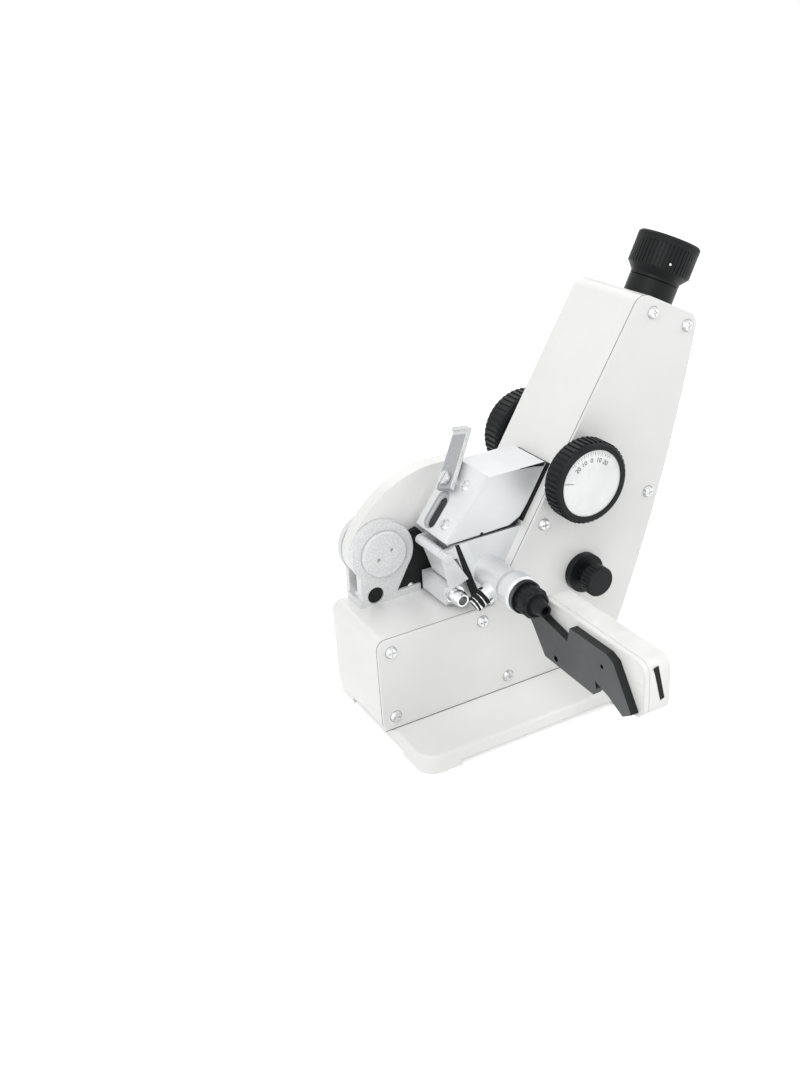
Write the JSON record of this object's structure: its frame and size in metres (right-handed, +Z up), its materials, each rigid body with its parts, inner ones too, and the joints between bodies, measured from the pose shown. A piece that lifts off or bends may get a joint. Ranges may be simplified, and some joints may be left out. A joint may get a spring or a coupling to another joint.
{
  "type": "bench refractometer",
  "caption": "Bench refractometer with a hinged prism box, leaning eyepiece column, side knobs and a clip-on digital thermometer.",
  "frame": {"origin": "centre of the foot's underside, on the surface it stands on", "axes": "+Z up, +X towards the eyepiece, -Y towards the side cover, the dispersion knob and the thermometer"},
  "size_m": [0.2063, 0.179, 0.2262],
  "materials": {
    "cast_paint": "smooth off-white enamel",
    "cover_paint": "smooth light grey-white enamel",
    "bright_steel": "bright turned steel",
    "black_anodised": "black anodised aluminium, satin",
    "black_rubber": "matte black rubber",
    "optical_glass": "polished optical glass",
    "dark_glass": "dark window glass",
    "display_glass": "liquid-crystal display behind clear plastic",
    "cast_aluminium": "light grey hammered paint on cast aluminium",
    "satin_aluminium": "satin chromed metal",
    "grey_plate": "mid-grey satin paint",
    "brass": "machined brass",
    "black_plastic": "black moulded plastic, satin",
    "white_dial": "white dial face",
    "mirror": "silvered mirror",
    "chrome": "polished chrome",
    "black_plate": "dark grey anodised plate",
    "white_plastic": "white moulded plastic",
    "grey_plastic": "grey moulded plastic"
  },
  "bodies": {
    "stand": {"foot_casting": "cast_paint", "housing": "cast_paint", "side_cover": "cover_paint", "cover_screws": "bright_steel", "eyepiece_neck": "black_anodised", "telescope_tube": "black_anodised", "objective_lens": "optical_glass", "reticle": "optical_glass", "tube_saddle": "cast_aluminium", "dispersion_bush": "bright_steel", "index_bush": "bright_steel", "sector_pin": "bright_steel", "condenser_flange": "black_plastic", "lower_prism_mount": "satin_aluminium", "lower_prism": "optical_glass", "lower_side_plate": "satin_aluminium", "mirror_pin": "bright_steel", "hinge_pedestal": "cast_aluminium", "pedestal_screws": "bright_steel", "lower_hose_nipple": "chrome", "socket_hose_nipple": "chrome", "thermometer_socket": "satin_aluminium", "probe_nut": "black_plastic", "thermometer_probe": "bright_steel", "thermometer_bracket": "black_plate", "case_back": "white_plastic", "case_front": "white_plastic", "display_window": "display_glass"},
    "focus_ring": {"eyepiece_ring": "black_anodised", "rubber_eyecup": "black_rubber", "eye_lens": "optical_glass"},
    "dispersion_drive": {"dispersion_shaft": "bright_steel", "dispersion_gear": "brass", "dispersion_knob": "black_plastic", "dispersion_dial": "white_dial"},
    "idler": {"idler_shaft": "brass"},
    "lower_compensator": {"lower_compensator_cell": "brass", "lower_compensator_prism": "optical_glass"},
    "upper_compensator": {"upper_compensator_cell": "brass", "upper_compensator_prism": "optical_glass"},
    "index_drive": {"index_shaft": "bright_steel", "index_knob": "black_plastic", "index_knob_cap": "black_plastic"},
    "scale_sector": {"index_sector": "brass", "scale_glass": "optical_glass"},
    "condenser": {"condenser_knob": "black_plastic"},
    "prism_lid": {"upper_prism_mount": "satin_aluminium", "upper_prism": "optical_glass", "front_plate": "satin_aluminium", "front_plate_screws": "bright_steel", "window_glass": "dark_glass", "shield_pivot_screw": "bright_steel", "hinge_arm": "cast_paint", "hub_pin": "bright_steel", "hub_cap": "cast_aluminium"},
    "light_shield": {"light_shield_bar": "grey_plate"},
    "mirror_flap": {"mirror_holder": "bright_steel", "mirror_glass": "mirror"},
    "power_button": {"power_key": "grey_plastic"},
    "hold_button": {"hold_key": "grey_plastic"}
  },
  "joints": [
    {"name": "prism_lid_hinge", "type": "hinge", "parent": "stand", "child": "prism_lid", "pos_m": [-0.047, 0, 0.088], "axis": [0, -1, 0], "range_deg": [0, 100]},
    {"name": "light_shield_pivot", "type": "hinge", "parent": "prism_lid", "child": "light_shield", "pos_m": [-0.00856, 0.008, 0.1188], "axis": [-0.7809, 0, 0.6247], "range_deg": [-202, 0]},
    {"name": "mirror_flap_hinge", "type": "hinge", "parent": "stand", "child": "mirror_flap", "pos_m": [-0.0275, 0, 0.092], "axis": [0, 1, 0], "range_deg": [0, 45]},
    {"name": "eyepiece_focus", "type": "hinge", "parent": "stand", "child": "focus_ring", "pos_m": [0.10721, 0.0065, 0.1917], "axis": [0.454, 0, 0.891], "range_deg": [-150, 150]},
    {"name": "dispersion_turn", "type": "hinge", "parent": "stand", "child": "dispersion_drive", "pos_m": [0.04199, 0, 0.121], "axis": [0, -1, 0], "continuous": true},
    {"name": "idler_turn", "type": "hinge", "parent": "stand", "child": "idler", "pos_m": [0.05059, 0, 0.1137], "axis": [0, -1, 0], "continuous": true},
    {"name": "lower_compensator_turn", "type": "hinge", "parent": "stand", "child": "lower_compensator", "pos_m": [0.05059, 0.0065, 0.1137], "axis": [0.616, 0, 0.7878], "continuous": true},
    {"name": "upper_compensator_turn", "type": "hinge", "parent": "stand", "child": "upper_compensator", "pos_m": [0.05059, 0.0065, 0.1137], "axis": [0.616, 0, 0.7878], "continuous": true},
    {"name": "index_turn", "type": "hinge", "parent": "stand", "child": "index_drive", "pos_m": [0.05904, 0, 0.119], "axis": [0, 1, 0], "range_deg": [-162.7, 162.7]},
    {"name": "sector_swing", "type": "hinge", "parent": "stand", "child": "scale_sector", "pos_m": [0.03987, 0, 0.088], "axis": [0, 1, 0], "range_deg": [-12, 12]},
    {"name": "condenser_turn", "type": "hinge", "parent": "stand", "child": "condenser", "pos_m": [0.04888, 0, 0.064], "axis": [0, -1, 0], "range_deg": [-90, 90]},
    {"name": "power_key_press", "type": "slide", "parent": "stand", "child": "power_button", "axis": [-1, 0, 0], "range_m": [0, 0.0008], "stiffness_N_per_m": 600},
    {"name": "hold_key_press", "type": "slide", "parent": "stand", "child": "hold_button", "axis": [-1, 0, 0], "range_m": [0, 0.0008], "stiffness_N_per_m": 600}
  ],
  "couplings": [
    {"joint": "idler_turn", "follows": "dispersion_turn", "ratio": -0.74644},
    {"joint": "lower_compensator_turn", "follows": "dispersion_turn", "ratio": -0.275},
    {"joint": "upper_compensator_turn", "follows": "dispersion_turn", "ratio": 0.275},
    {"joint": "sector_swing", "follows": "index_turn", "ratio": -0.073749}
  ]
}
